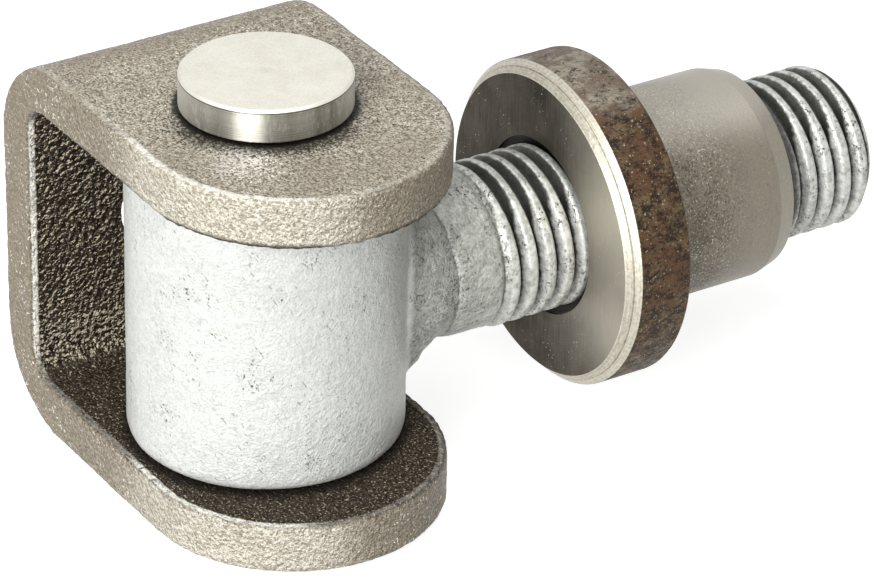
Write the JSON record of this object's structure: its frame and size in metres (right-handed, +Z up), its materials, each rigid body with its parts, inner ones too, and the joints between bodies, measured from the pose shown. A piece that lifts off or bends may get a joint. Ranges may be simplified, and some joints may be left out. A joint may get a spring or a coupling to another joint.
{
  "type": "gate hinge",
  "caption": "Adjustable gate hinge: a U bracket for the post carries an eye bolt on a headed pin, and a flanged weld nut on its stud holds the gate.",
  "frame": {"origin": "centre of the bracket's outer (post) face, on the axis of the post bolt hole", "axes": "+X from the post face towards the free ends of the ears, +Y the way the stud points at rest, +Z up along the hinge pin"},
  "size_m": [0.054, 0.0979, 0.0533],
  "materials": {
    "blasted_steel": "grit-blasted mild steel, matt, warm grey, darker inside the throat",
    "turned_stainless": "fine-turned stainless steel, satin",
    "galvanised_zinc": "hot-dip galvanised forging, pale grey and mottled, dark in the thread's valleys",
    "turned_steel": "bare turned steel, with mill scale and some rust on the flange's rim"
  },
  "bodies": {
    "bracket": {"u_bracket": "blasted_steel"},
    "pin": {"hinge_pin": "turned_stainless"},
    "eye_bolt": {"eye_bolt": "galvanised_zinc"},
    "nut": {"weld_nut": "turned_steel"}
  },
  "joints": [
    {"name": "eye_swing", "type": "hinge", "parent": "bracket", "child": "eye_bolt", "pos_m": [0.03, 0, 0], "axis": [0, 0, 1], "range_deg": [-200, 20]},
    {"name": "nut_travel", "type": "slide", "parent": "eye_bolt", "child": "nut", "axis": [0, 1, 0], "range_m": [-0.0075, 0.0125]},
    {"name": "pin_lift", "type": "slide", "parent": "bracket", "child": "pin", "axis": [0, 0, 1], "range_m": [0, 0.043]}
  ]
}
